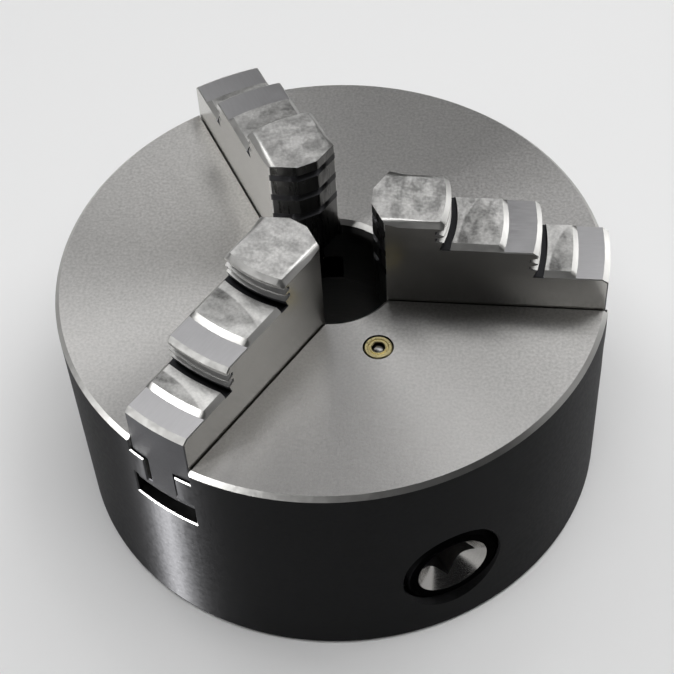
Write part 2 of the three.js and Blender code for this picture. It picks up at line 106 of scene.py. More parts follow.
PINION_AXIS_Z = 21.8
PINION_HOLE_RADIUS = 11.7
PINION_MOUTH_RADIUS = 13.2
PINION_FACE = -cad_size("pinion_2", 0, "x")
SHANK_RADIUS = 11.4
SHANK_START = 47.3
GROOVE_AT = 55
GROOVE_RADIUS = 9.5
GROOVE_HALF = 1.7
JOURNAL_RADIUS = 4
JOURNAL_END = 19.5
KEY_SOCKET = 9.3
KEY_SOCKET_DEPTH = 13
COUNTERSINK_RADIUS = 8.4

COVER_REAR = cad_size("back_cover", 0, "z")
COVER_FRONT = 9.5
COLLAR_INNER = 27.5
COLLAR_OUTER = 33
COLLAR_FRONT = cad_size("back_cover", 1, "z")
COVER_SCREW_CIRCLE = 21
COVER_HEAD_RADIUS = 3.5
COVER_HEAD_HEIGHT = 2.6
COVER_SHANK_RADIUS = 2
HEX_RADIUS = 1.45
COVER_SCREW_END = 20
COVER_SOCKET_DEPTH = 1.6
RETAINING_RADIUS = 2.5
RETAINING_START = 0.8
DOG_RADIUS = 1.4
DOG_START = 8
DOG_END = 11.8
RETAINING_SOCKET_DEPTH = 2.2

NIPPLE_CIRCLE = 25
NIPPLE_ANGLE = 300
NIPPLE_RADIUS = 3.15
NIPPLE_BOTTOM = cad_size("oil_nipple_body", 0, "z")
NIPPLE_BORE = 2.1
NIPPLE_FLOOR = 1                             # thickness of its bottom
OIL_HOLE_RADIUS = 1.4
DRAIN_RADIUS = 0.5
BALL_RADIUS = 1.7
BALL_HEIGHT = 56
SPRING_FOOT = cad_size("oil_nipple_spring", 0, "z")
SPRING_TOP = 54.5
SPRING_RADIUS = 1.15
SPRING_WIRE = 0.18                           # radius of the wire
SPRING_TURNS = 4

JAW_HALF = 7.9
NECK_HALF = 3.3
FLANGE_HALF = 7.7
NOSE = cad_size("jaw_1", 0, "x")
NOSE_HALF = 2.3
FLANK_SLOPE = 1 / tan(pi / 3)
FOOT_START = 14
TEETH_END = 56
TOP_1, TOP_2, TOP_3 = 24.5, 18.2, 10.8       # heights of the milled tops over the face
END_1, END_2, END_3 = 26.9, 46.6, 61.8       # radii of the tiers' outer walls
PAD_DROP = 1.2                               # ground pads lie this much lower than the milled tops
PAD_2, PAD_3 = 38.2, 53.6                    # radii where the pads start
SIDE_CHAMFER = 1.1
WALL_CHAMFER = 1.1                           # of the edge between a tier's top and its wall
NOSE_GROOVES = [21, 15, 9]
VEE_HALF = 0.9
VEE_DEPTH = 1.7
RELIEF_DEPTH = 1.15                          # of the turned groove at the foot of each tier's wall
NOTCH_DEPTH = 1.5                            # of the serrations turned into the tiers' walls
TIER_PITCH = 19.8                            # distance between the milling marks of tiers 2 and 3
BACK_SWEEP = (0.0115, -0.0100, 0.0270)       # round marks of the milling cutter, each shown as a patch of painted sheen: x, y, radius, in metres
FRONT_SWEEP = (0.0580, -0.0080, 0.0288)
HOLLOW_SWEEP = (0.0210, -0.0080, 0.0110)

BODY_SIDES = 240
WELD = 0.002                                 # points of a piece closer than this become one
SHARP_ANGLE = 34                             # degrees between faces from which their edge stays sharp

# ---------------------------------------------------------------- camera and studio

CAMERA_AZIMUTH = 8.745
CAMERA_ELEVATION = 50.762
CAMERA_ROLL = -3.927
CAMERA_DISTANCE = 0.40815
CAMERA_TARGET = Vector((0, 0, 0.03))
CAMERA_LENS = 91.47
CAMERA_SENSOR = 36
CAMERA_SHIFT = (0.00077, 0.0168)
LAMP_TARGET = Vector((0, 0, 0.04))
LAMP_DISTANCE = 0.8
SOFTBOXES = [                                # name, azimuth, elevation, width, height, strength
    ("left", -120, 42, 0.34, 0.34, 3.5),
    ("left_back", -150, 42, 0.34, 0.34, 0.55),
    ("left_top", -150, 68, 0.34, 0.30, 1.5),
    ("right", 120, 42, 0.34, 0.34, 2.7),
    ("right_back", 150, 42, 0.34, 0.34, 1.3),
    ("right_top", 150, 68, 0.34, 0.30, 2.3),
    ("right_high", 100, 68, 0.34, 0.30, 1.3),
    ("front", -7, 39, 0.34, 0.34, 0.14),
]
GLOSS_STRIPS = [                             # seen only in gloss
    ("left_strip", -54, 3, 0.06, 0.20, 540),
    ("right_strip", 129, 8, 0.20, 0.20, 6),
    ("right_low", 92, 18, 0.34, 0.34, 0.55),
]
FLOOR_LIGHT = ("floor_light", 20, 72, 0.6, 0.5, 3.7)    # lights the floor, isn't seen in the metal
WORLD_LIGHT = 0.03
FLOOR_RADIUS = 2500                          # millimetres
FLOOR_GAP = 0.3


def direction(azimuth, elevation):
    """Unit vector towards a place round the object; azimuth 0 is -Y, 90 is +X."""
    a, e = radians(azimuth), radians(elevation)
    return Vector((sin(a) * cos(e), -cos(a) * cos(e), sin(e)))


def add_camera():
    data = bpy.data.cameras.new("camera")
    data.lens = CAMERA_LENS
    data.sensor_width = CAMERA_SENSOR
    data.shift_x, data.shift_y = CAMERA_SHIFT
    data.clip_start = 0.01
    camera = bpy.data.objects.new("camera", data)
    bpy.context.collection.objects.link(camera)
    back = direction(CAMERA_AZIMUTH, CAMERA_ELEVATION)
    turn = back.to_track_quat("Z", "Y").to_matrix() @ Matrix.Rotation(radians(CAMERA_ROLL), 3, "Z")
    camera.matrix_world = Matrix.Translation(CAMERA_TARGET + back * CAMERA_DISTANCE) @ turn.to_4x4()
    bpy.context.scene.camera = camera


def add_softbox(name, azimuth, elevation, width, height, strength):
    """A rectangular lamp aimed at the object; strength is the light of its surface."""
    data = bpy.data.lights.new(name, "AREA")
    data.shape = "RECTANGLE"
    data.size, data.size_y = width, height
    data.energy = strength * width * height * pi
    lamp = bpy.data.objects.new(name, data)
    bpy.context.collection.objects.link(lamp)
    aim = direction(azimuth, elevation)
    turn = aim.to_track_quat("Z", "Y").to_matrix().to_4x4()
    lamp.matrix_world = Matrix.Translation(LAMP_TARGET + aim * LAMP_DISTANCE) @ turn
    return lamp


def add_studio():
    world = bpy.data.worlds.new("studio")
    bpy.context.scene.world = world
    world.use_nodes = True
    world.node_tree.nodes["Background"].inputs["Color"].default_value = (0.62, 0.63, 0.65, 1)
    world.node_tree.nodes["Background"].inputs["Strength"].default_value = WORLD_LIGHT
    for softbox in SOFTBOXES:
        add_softbox(*softbox)
    for strip in GLOSS_STRIPS:
        add_softbox(*strip).visible_diffuse = False
    add_softbox(*FLOOR_LIGHT).visible_glossy = False
    bpy.context.scene.view_settings.view_transform = "Standard"
    floor = loft("floor", [circle(FLOOR_RADIUS, -FLOOR_GAP, 64)], flat=True)
    floor.data.transform(Matrix.Scale(MM, 4))
    floor.data.materials.append(floor_material())


# ---------------------------------------------------------------- outlines

def on_circle(radius, degrees):
    return radius * cos(radians(degrees)), radius * sin(radians(degrees))


def circle(radius, z, sides, turn=0, at=(0, 0)):
    steps = [on_circle(radius, 360 * i / sides + turn) for i in range(sides)]
    return [(at[0] + x, at[1] + y, z) for x, y in steps]


def offset(outline, distance):
    """Moves each edge of a counter-clockwise outline inwards by a distance."""
    count = len(outline)
    points = []
    for i in range(count):
        before, here, after = (Vector(outline[(i + step) % count]) for step in (-1, 0, 1))
        first, second = (here - before).normalized(), (after - here).normalized()
        normals = Vector((-first.y - second.y, first.x + second.x))
        points.append(tuple(here + normals * distance / max(1 + first.dot(second), 0.35)))
    return points


def arc_end(radius, half, steps=14):
    """Points of an arc about the Z axis, from -half to +half across."""
    across = [half * (2 * i / steps - 1) for i in range(steps + 1)]
    return [(sqrt(radius * radius - y * y), y) for y in across]


def wedge_outline(start, start_half, half, end):
    """Plan of a bar with a pointed inner end and an outer end that follows the chuck's wall."""
    corner = start + (half - start_half) * FLANK_SLOPE
    return [(start, -start_half), (corner, -half), *arc_end(end, half), (corner, half), (start, start_half)]


# ---------------------------------------------------------------- meshes

def loft(name, rings, look=0, end_look=0, closed=False, flat=False):
    """A skin over rings of points, with a flat face over each end unless the rings close up.

    look is the number of a material, or a function of the ring and the point within it.
    """
    count = len(rings[0])
    vertices = [point for ring in rings for point in ring]
    faces, looks = [], []
    for j in range(len(rings) if closed else len(rings) - 1):
        here, there = j * count, (j + 1) % len(rings) * count
        for i in range(count):
            k = (i + 1) % count
            faces.append((here + i, there + i, there + k, here + k))
            looks.append(look(j, i) if callable(look) else look)
    if not closed:
        ends = [0] if flat else [0, len(vertices) - count]
        faces += [tuple(range(start, start + count)) for start in ends]
        looks += [end_look] * len(ends)
    mesh = bpy.data.meshes.new(name)
    mesh.from_pydata(vertices, [], faces)
    mesh.polygons.foreach_set("material_index", looks)
    mesh.update()
    obj = bpy.data.objects.new(name, mesh)
    bpy.context.collection.objects.link(obj)
    if not flat:
        face_outwards(obj)
    return obj


def face_outwards(obj):
    work = bmesh.new()
    work.from_mesh(obj.data)
    bmesh.ops.recalc_face_normals(work, faces=work.faces)
    work.to_mesh(obj.data)
    work.free()


def ring_solid(name, profile, sides=180, look=0):
    """A closed profile of (radius, z) points turned about Z; look may be a list, one for each edge."""
    rings = []
    for j in range(sides):
        turn = 360 * j / sides
        rings.append([(*on_circle(radius, turn), z) for radius, z in profile])
    pick = (lambda _, i: look[i]) if isinstance(look, list) else look
    return loft(name, rings, pick, closed=True)


def spindle(name, profile, sides=64, at=(0, 0), look=0, turn=0):
    """A solid bar along Z through (radius, z) points; look may be a list, one for each step."""
    rings = [circle(radius, z, sides, turn, at) for radius, z in profile]
    pick = (lambda j, _: look[j]) if isinstance(look, list) else look
    return loft(name, rings, pick, look[-1] if isinstance(look, list) else look)


def rod(name, radius, z0, z1, at=(0, 0), sides=64, top=None, look=0, turn=0):
    return spindle(name, [(radius, z0), (radius if top is None else top, z1)], sides, at, look, turn)


def prism(name, outline, z0, z1, ease=0.0, look=0, edge_look=0):
    """A counter-clockwise outline raised from z0 to z1, with its end edges chamfered by ease."""
    levels = [(z0, 0), (z1, 0)]
    if ease:
        levels = [(z0, ease), (z0 + ease, 0), (z1 - ease, 0), (z1, ease)]
    rings = [[(x, y, z) for x, y in offset(outline, inset)] for z, inset in levels]
    return loft(name, rings, lambda j, _: edge_look if ease and j != 1 else look, look)


def block(name, x0, x1, y0, y1, z0, z1, look=0):
    return prism(name, [(x0, y0), (x1, y0), (x1, y1), (x0, y1)], z0, z1, look=look)


def moved(obj, matrix):
    obj.data.transform(matrix)
    return obj


def about_z(degrees):
    return Matrix.Rotation(radians(degrees), 4, "Z")


def radially(obj, degrees):
    """Lays a piece built along +Z along a radius, at the height of the pinion axes."""
    lay = Matrix.Rotation(pi / 2, 4, "Y")
    return moved(obj, about_z(degrees) @ Matrix.Translation((0, 0, PINION_AXIS_Z)) @ lay)


def joined(pieces):
    """Puts separate solids that don't touch into one object."""
    work = bmesh.new()
    for piece in pieces:
        work.from_mesh(piece.data)
    work.to_mesh(pieces[0].data)
    work.free()
    for piece in pieces[1:]:
        bpy.data.objects.remove(piece)
    return pieces[0]


def give_materials(obj, materials):
    """Fills the material slots of a piece that has none yet, so that its faces keep their looks."""
    if not obj.data.materials:
        for item in materials:
            obj.data.materials.append(item)


def combine(target, others, operation, materials):
    """Joins, cuts or intersects the target with other solids, which are used up."""
    for obj in (target, *others):
        give_materials(obj, materials)
    for other in others:
        step = target.modifiers.new("step", "BOOLEAN")
        step.object = other
        step.operation = operation
        step.solver = "EXACT"
    graph = bpy.context.evaluated_depsgraph_get()
    mesh = bpy.data.meshes.new_from_object(target.evaluated_get(graph))
    target.modifiers.clear()
    target.data = mesh
    for other in others:
        bpy.data.objects.remove(other)
    return target


def finished(obj, name, materials):
    """Scales a piece to metres, cleans its mesh, gives it its materials and shades it."""
    obj.name = name
    work = bmesh.new()
    work.from_mesh(obj.data)
    bmesh.ops.remove_doubles(work, verts=work.verts, dist=WELD)
    bmesh.ops.dissolve_degenerate(work, edges=work.edges, dist=WELD / 2)
    bmesh.ops.scale(work, vec=(MM, MM, MM), verts=work.verts)
    work.to_mesh(obj.data)
    work.free()
    give_materials(obj, materials)
    mesh = obj.data
    mesh.name = name
    for face in mesh.polygons:
        face.use_smooth = abs(face.normal.z) < 0.999
    mesh.set_sharp_from_angle(angle=radians(SHARP_ANGLE))
    weighted = obj.modifiers.new("normals", "WEIGHTED_NORMAL")
    weighted.keep_sharp = True
    weighted.weight = 80
    return obj


def placed(obj, body, slot, *nodes):
    """Makes a piece ride on a body and stand for CAD nodes."""
    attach(obj, body)
    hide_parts(*nodes)


# ---------------------------------------------------------------- materials

class Recipe:
    """A metal or paint built from nodes: each method adds one layer of detail."""

    def __init__(self, name, color, roughness, metallic=1.0, **constants):
        self.material = bpy.data.materials.new(name)
        self.material.use_nodes = True
        self.tree = self.material.node_tree
        self.shader = self.tree.nodes["Principled BSDF"]
        self.shader.inputs["Base Color"].default_value = (*color, 1)
        self.shader.inputs["Roughness"].default_value = roughness
        self.shader.inputs["Metallic"].default_value = metallic
        for key, value in constants.items():
            self.shader.inputs[key.replace("_", " ")].default_value = value
        self.color = color
        self.place = self.node("ShaderNodeTexCoord").outputs["Object"]

    def node(self, kind, **inputs):
        made = self.tree.nodes.new(kind)
        for key, value in inputs.items():
            self.feed(made.inputs[key.replace("_", " ")], value)
        return made

    def feed(self, socket, value):
        if isinstance(value, bpy.types.NodeSocket):
            self.tree.links.new(value, socket)
        else:
            socket.default_value = value

    def stretched(self, scale=(1, 1, 1), shift=(0, 0, 0)):
        """The place on the object, scaled and then shifted."""
        made = self.node("ShaderNodeMapping", Vector=self.place, Scale=scale, Location=shift)
        return made.outputs["Vector"]

    def noise(self, scale, detail=4.0, vector=None):
        inputs = {"Vector": vector or self.place, "Scale": scale, "Detail": detail, "Roughness": 0.6}
        return self.node("ShaderNodeTexNoise", **inputs).outputs["Fac"]

    def span(self, value, low, high, start=0.3, end=0.7):
        """A value from start to end moved on to the range from low to high."""
        made = self.node("ShaderNodeMapRange", Value=value)
        for socket, number in (("From Min", start), ("From Max", end), ("To Min", low), ("To Max", high)):
            made.inputs[socket].default_value = number
        return made.outputs["Result"]

    def math(self, operation, a, b=0.0, c=0.0):
        made = self.node("ShaderNodeMath")
        made.operation = operation
        for socket, value in zip(made.inputs, (a, b, c)):
            self.feed(socket, value)
        return made.outputs["Value"]

    def mixed(self, first, second, share):
        """A weighted sum of two values."""
        return self.math("MULTIPLY_ADD", first, share, self.math("MULTIPLY", second, 1 - share))

    def disc(self, patch, along, soft=0.0004):
        """1 inside a round patch (x, y, radius) seen along Z and moved along X, 0 outside; in metres."""
        x, y, radius = patch
        flat = self.stretched((1, 1, 0), (-x - along, -y, 0))
        length = self.node("ShaderNodeVectorMath", Vector=flat)
        length.operation = "LENGTH"
        return self.span(length.outputs["Value"], 1, 0, radius - soft, radius + soft)

    def tint(self, value, low, high):
        """Colours the surface between two shades of its colour by a value from 0 to 1."""
        ramp = self.node("ShaderNodeValToRGB", Fac=value)
        ramp.color_ramp.elements[0].color = (*[c * low for c in self.color], 1)
        ramp.color_ramp.elements[1].color = (*[min(1, c * high) for c in self.color], 1)
        self.tree.links.new(ramp.outputs["Color"], self.shader.inputs["Base Color"])
        return self

    def gloss(self, value, low, high):
        """Varies the roughness between two values."""
        self.tree.links.new(self.span(value, low, high), self.shader.inputs["Roughness"])
        return self

    def relief(self, height, strength):
        """Bumps the surface by up to a tenth of a millimetre times the strength."""
        bump = self.node("ShaderNodeBump", Height=height, Strength=strength, Distance=0.1 * MM)
        self.tree.links.new(bump.outputs["Normal"], self.shader.inputs["Normal"])
        return self

    def round_z(self):
        """Turns the direction of brushed highlights with the surface round Z."""
        tangent = self.node("ShaderNodeTangent")
        tangent.direction_type = "RADIAL"
        tangent.axis = "Z"
        self.tree.links.new(tangent.outputs["Tangent"], self.shader.inputs["Tangent"])
        return self


def ground_face_material():
    made = Recipe("ground_face", (0.50, 0.492, 0.482), 0.36, Anisotropic=0.92, Anisotropic_Rotation=0.25)
    grain = made.span(made.noise(1500, 3), 0, 1, 0.36, 0.64)
    blotch = made.span(made.noise(260, 3), 0, 1, 0.25, 0.75)
    both = made.mixed(grain, blotch, 0.8)
    made.tint(both, 0.84, 1.16)
    made.gloss(both, 0.36, 0.43)
    made.round_z()
    return made.relief(grain, 0.07).material


def black_side_material():
    made = Recipe("blackened_side", (0.026, 0.026, 0.027), 0.45, Anisotropic=1.0, Anisotropic_Rotation=0.25)
    bands = made.noise(1.0, 4, made.stretched((60, 60, 2200)))
    grain = made.span(made.noise(900, 4), 0, 1, 0.3, 0.7)
    made.tint(made.mixed(grain, bands, 0.7), 0.7, 1.35)
    made.gloss(made.mixed(bands, grain, 0.5), 0.42, 0.50)
    made.round_z()
    return made.relief(bands, 0.06).material


def bright_edge_material():
    made = Recipe("bright_edge", (0.50, 0.495, 0.48), 0.38)
    wear = made.noise(700, 4)
    made.tint(wear, 0.92, 1.06)
    return made.gloss(wear, 0.35, 0.42).material


def dark_wall_material():
    made = Recipe("dark_wall", (0.03, 0.03, 0.031), 0.42)
    wear = made.noise(400, 5)
    made.tint(wear, 0.7, 1.4)
    made.gloss(wear, 0.36, 0.5)
    return made.relief(made.noise(1800, 3), 0.08).material


def bore_material():
    made = Recipe("turned_bore", (0.12, 0.118, 0.115), 0.33)
    rings = made.noise(1.0, 3, made.stretched((20, 20, 3600)))
    made.tint(rings, 0.7, 1.3)
    made.gloss(rings, 0.26, 0.42)
    return made.relief(rings, 0.2).material


def rear_rim_material():
    made = Recipe("rear_rim", (0.36, 0.355, 0.35), 0.34)
    rings = made.noise(900, 4)
    made.tint(rings, 0.8, 1.2)
    made.gloss(rings, 0.28, 0.4)
    return made.relief(rings, 0.08).material


def milled_top_material(number):
    """Overlapping sweeps of a large milling cutter under a fine speckle; each sweep's lighter or darker
    patch is painted sheen, standing in for how the cut grain reflects light.
    """
    made = Recipe(f"milled_top_{number}", (0.60, 0.595, 0.58), 0.34)
    drift = 0.0006 * (number - 2)
    shades = 0.0
    for step in (0, TIER_PITCH * MM):
        start = step + drift
        back = made.disc(BACK_SWEEP, start, 0.0008)
        front = made.disc(FRONT_SWEEP, start, 0.0002)
        hill = made.math("MULTIPLY", back, front)
        hollow = made.math("MULTIPLY", made.disc(HOLLOW_SWEEP, start), front)
        sweep = made.math("MULTIPLY_ADD", hollow, 0.45, made.math("MULTIPLY", hill, 0.55))
        shades = made.math("MAXIMUM", shades, sweep)
    along = made.stretched((1.8, 1, 1), (drift, 0.01 * number, 0))
    smear = made.span(made.noise(170, 3, along), 0, 1, 0.35, 0.65)
    speckle = made.span(made.noise(1500, 4), 0, 1, 0.35, 0.65)
    marks = made.mixed(smear, speckle, 0.62)
    # painted sheen: the sweeps' patches lighten and darken the colour in place of the grain's reflection of
    # the lamps
    made.tint(made.mixed(made.span(shades, 1, 0, 0, 1), marks, 0.58), 0.22, 1.45)
    made.gloss(marks, 0.30, 0.40)
    return made.relief(made.mixed(speckle, smear, 0.6), 0.15).material


def ground_pad_material():
    made = Recipe("ground_pad", (0.52, 0.515, 0.525), 0.32)
    grain = made.noise(1.0, 4, made.stretched((260, 2400, 1)))
    made.tint(grain, 0.92, 1.08)
    made.gloss(grain, 0.28, 0.36)
    return made.relief(grain, 0.06).material


def ground_side_material():
    made = Recipe("ground_side", (0.50, 0.49, 0.465), 0.23)
    scratches = made.noise(1.0, 4, made.stretched((110, 900, 2600)))
    patches = made.noise(120, 3)
    made.tint(patches, 0.9, 1.08)
    made.gloss(scratches, 0.20, 0.27)
    return made.relief(scratches, 0.03).material


def nose_flank_material():
    made = Recipe("nose_flank", (0.13, 0.13, 0.128), 0.28)
    strokes = made.noise(1.0, 4, made.stretched((900, 900, 60)))
    made.tint(strokes, 0.7, 1.3)
    made.gloss(strokes, 0.24, 0.34)
    return made.relief(strokes, 0.05).material


def turned_wall_material():
    made = Recipe("turned_wall", (0.50, 0.495, 0.48), 0.28)
    rings = made.noise(1.0, 3, made.stretched((60, 60, 3000)))
    made.tint(rings, 0.85, 1.1)
    made.gloss(rings, 0.24, 0.34)
    return made.relief(rings, 0.06).material


# The dark finish of the jaws' ends, also laid into the jaws' grooves and serrations as painted shade.
def dark_end_material():
    made = Recipe("dark_end_and_painted_shade", (0.045, 0.045, 0.048), 0.45)
    grain = made.noise(900, 5)
    made.tint(grain, 0.85, 1.2)
    made.gloss(grain, 0.40, 0.5)
    return made.relief(made.noise(2600, 3), 0.06).material


def brass_material():
    made = Recipe("turned_brass", (0.66, 0.57, 0.30), 0.34)
    rings = made.noise(1500, 4)
    made.tint(rings, 0.75, 1.2)
    return made.gloss(rings, 0.24, 0.4).material


def oxide_material():
    made = Recipe("black_oxide", (0.007, 0.007, 0.0073), 0.4, Specular_Tint=(0, 0, 0, 1))
    grain = made.noise(1200, 5)
    made.tint(grain, 0.7, 1.6)
    return made.gloss(grain, 0.34, 0.5).material


def countersink_material():
    made = Recipe("countersink", (0.40, 0.39, 0.375), 0.2)
    rings = made.noise(1.0, 3, made.stretched((300, 300, 2600)))
    made.tint(rings, 0.8, 1.15)
    made.gloss(rings, 0.16, 0.25)
    return made.relief(rings, 0.08).material


def hardened_material():
    made = Recipe("hardened_steel", (0.38, 0.375, 0.37), 0.34)
    grain = made.noise(700, 5)
    made.tint(grain, 0.8, 1.2)
    made.gloss(grain, 0.28, 0.42)
    return made.relief(grain, 0.1).material


def floor_material():
    made = Recipe("pale_floor", (0.86, 0.86, 0.86), 0.7, 0.0)
    made.tint(made.noise(6, 3), 0.985, 1.0)
    return made.material


# ---------------------------------------------------------------- chuck body

FACE, SIDE, EDGE, WALL, BORE, REAR = range(6)


def slot_section():
    """Section of a jaw slot across its length: wide channel, guide rails, wide channel."""
    right = [
        (SLOT_HALF, SLOT_FLOOR),
        (SLOT_HALF, RAIL_UNDERSIDE),
        (RAIL_HALF + EDGE_BREAK, RAIL_UNDERSIDE),
        (RAIL_HALF, RAIL_UNDERSIDE + EDGE_BREAK),
        (RAIL_HALF, RAIL_TOP - EDGE_BREAK),
        (RAIL_HALF + EDGE_BREAK, RAIL_TOP),
        (SLOT_HALF, RAIL_TOP),
        (SLOT_HALF, BODY_HEIGHT - EDGE_BREAK),
        (SLOT_HALF + EDGE_BREAK + 2, BODY_HEIGHT + 2),
    ]
    return right + [(-y, z) for y, z in reversed(right)]


def window_section():
    """The slot's section at the side wall, with plain corners."""
    right = [
        (SLOT_HALF, SLOT_FLOOR),
        (SLOT_HALF, RAIL_UNDERSIDE),
        (RAIL_HALF, RAIL_UNDERSIDE),
        (RAIL_HALF, RAIL_TOP),
        (SLOT_HALF, RAIL_TOP),
        (SLOT_HALF, BODY_HEIGHT + 2),
    ]
    return right + [(-y, z) for y, z in reversed(right)]


def divided(outline, pattern, longest):
    """The outline with points added along its edges, as many as keep its pattern's edges under a length."""
    points = []
    for i, here in enumerate(outline):
        k = (i + 1) % len(outline)
        pieces = ceil((Vector(pattern[k]) - Vector(pattern[i])).length / longest)
        points += [tuple(Vector(here).lerp(Vector(outline[k]), j / pieces)) for j in range(pieces)]
    return points


def jaw_slot_cuts(angle):
    """The slot, and the small chamfer round its window in the side wall."""
    section = slot_section()
    bright = {4, 6, 7, 9, 10, 13, 15}        # edges of the section that are ground
    rings = [[(x, y, z) for y, z in section] for x in (5, BODY_RADIUS + 5)]
    slot = loft("cut", rings, lambda _, i: EDGE if i in bright else WALL, WALL)
    rings = []
    plain = window_section()
    inside = (BODY_RADIUS - WINDOW_BREAK - 0.1, -0.1)
    outside = (BODY_RADIUS + 1, 1 + WINDOW_BREAK)
    for radius, grow in (inside, outside):
        window = divided(offset(plain, -grow), plain, 1.1)
        rings.append([(sqrt(radius * radius - y * y), y, z) for y, z in window])

    def level_edge(_, i):
        here, after = window[i], window[(i + 1) % len(window)]
        return EDGE if abs(after[1] - here[1]) < abs(after[0] - here[0]) else WALL

    flare = loft("cut", rings, level_edge, EDGE)
    return [moved(slot, about_z(angle)), moved(flare, about_z(angle))]


def pinion_hole_cuts(angle):
    mouth_depth = PINION_MOUTH_RADIUS - PINION_HOLE_RADIUS
    profile = [
        (PINION_HOLE_RADIUS, CAVITY_RADIUS - 6),
        (PINION_HOLE_RADIUS, BODY_RADIUS - mouth_depth),
        (PINION_MOUTH_RADIUS + 3, BODY_RADIUS + 3),
    ]
    cuts = [
        spindle("cut", profile, 120, look=[WALL, SIDE]),
        rod("cut", JOURNAL_RADIUS + 0.3, JOURNAL_END - 0.5, HUB_RADIUS + 2, look=WALL),
    ]
    return [radially(cut, angle) for cut in cuts]


def threaded_hole_cut(at):
    """Tapped hole from the rear rim, as rings of V grooves under a countersunk mouth."""
    z = THREAD_START
    profile = [(THREAD_MAJOR + 2.4, -2), (THREAD_MINOR, z)]
    while z < BOLT_HOLE_DEPTH - THREAD_PITCH:
        profile += [(THREAD_MAJOR, z + THREAD_PITCH / 2), (THREAD_MINOR, z + THREAD_PITCH)]
        z += THREAD_PITCH
    profile += [(THREAD_MINOR, BOLT_HOLE_DEPTH), (0.2, BOLT_HOLE_DEPTH + DRILL_POINT)]
    return spindle("cut", profile, 48, at, WALL)


def retaining_hole_cut(at):
    """Countersunk hole of a pinion's retaining screw, in the rear rim."""
    radius = RETAINING_RADIUS + 0.2
    return spindle("cut", [(4.0, -0.9), (radius, 0.4), (radius, DOG_START + 0.3)], 48, at, WALL)


def chuck_body():
    profile = [
        (BORE_RADIUS, HUB_REAR, WALL),
        (HUB_RADIUS, HUB_REAR, WALL),
        (HUB_RADIUS, CAVITY_TOP, WALL),
        (CAVITY_RADIUS, CAVITY_TOP, WALL),
        (CAVITY_RADIUS, COVER_REAR, WALL),
        (RECESS_RADIUS, COVER_REAR, REAR),
        (RECESS_RADIUS, 0.5, EDGE),
        (RECESS_RADIUS + 0.5, 0, REAR),
        (BODY_RADIUS - REAR_CHAMFER, 0, SIDE),
        (BODY_RADIUS, REAR_CHAMFER, SIDE),
        (BODY_RADIUS, BODY_HEIGHT - FACE_CHAMFER, EDGE),
        (BODY_RADIUS - FACE_CHAMFER, BODY_HEIGHT, FACE),
        (BORE_RADIUS + FACE_CHAMFER, BODY_HEIGHT, EDGE),
        (BORE_RADIUS, BODY_HEIGHT - FACE_CHAMFER, BORE),
    ]
    rings = []
    for j in range(BODY_SIDES):
        turn = 360 * (j + 0.5) / BODY_SIDES
        rings.append([(*on_circle(radius, turn), z) for radius, z, _ in profile])
    body = loft("body", rings, lambda _, i: profile[i][2], closed=True)
    nipple_at = on_circle(NIPPLE_CIRCLE, NIPPLE_ANGLE)
    cuts = [spindle("cut", [
        (NIPPLE_RADIUS + 0.12, NIPPLE_BOTTOM - 0.3),
        (NIPPLE_RADIUS + 0.12, BODY_HEIGHT - 0.15),
        (NIPPLE_RADIUS + 1.12, BODY_HEIGHT + 0.85),
    ], 64, nipple_at, WALL)]
    for angle in JAW_ANGLES:
        cuts += jaw_slot_cuts(angle)
        cuts.append(threaded_hole_cut(on_circle(BOLT_CIRCLE, angle)))
        at = on_circle(COVER_SCREW_CIRCLE, angle)
        hole_end = COVER_SCREW_END + 2
        cuts.append(rod("cut", COVER_SHANK_RADIUS + 0.2, HUB_REAR - 1, hole_end, at, 32, look=WALL))
    for angle in PINION_ANGLES:
        cuts += pinion_hole_cuts(angle)
        at = on_circle(GROOVE_AT, angle)
        cuts.append(retaining_hole_cut(at))
        cuts.append(rod("cut", DOG_RADIUS + 0.3, DOG_START, DOG_END + 0.2, at, 32, look=WALL))
    looks = [
        ground_face_material(),
        black_side_material(),
        bright_edge_material(),
        dark_wall_material(),
        bore_material(),
        rear_rim_material(),
    ]
    combine(body, cuts, "DIFFERENCE", looks)
    placed(finished(body, "chuck_body_finished", looks), "chuck", "chuck_body_steel", "chuck_body")


# ---------------------------------------------------------------- jaws

# the dark look is the jaws' end finish, and also painted shade in their grooves and serrations
MILLED, PAD, GROUND, DARK_AND_SHADE, BRIGHT, TURNED, FLANK = range(7)
ARC, FRONT, NOTCH = range(3)                 # how a point of the section is carried across the jaw


def nose_front(y):
    """Distance of the nose from the axis at a place across the jaw, with the corners of its flat rounded."""
    past, ease = abs(y) - NOSE_HALF, 0.3
    if past <= -ease:
        return NOSE
    run = past if past >= ease else (past + ease) ** 2 / (4 * ease)
    return NOSE + run * FLANK_SLOPE


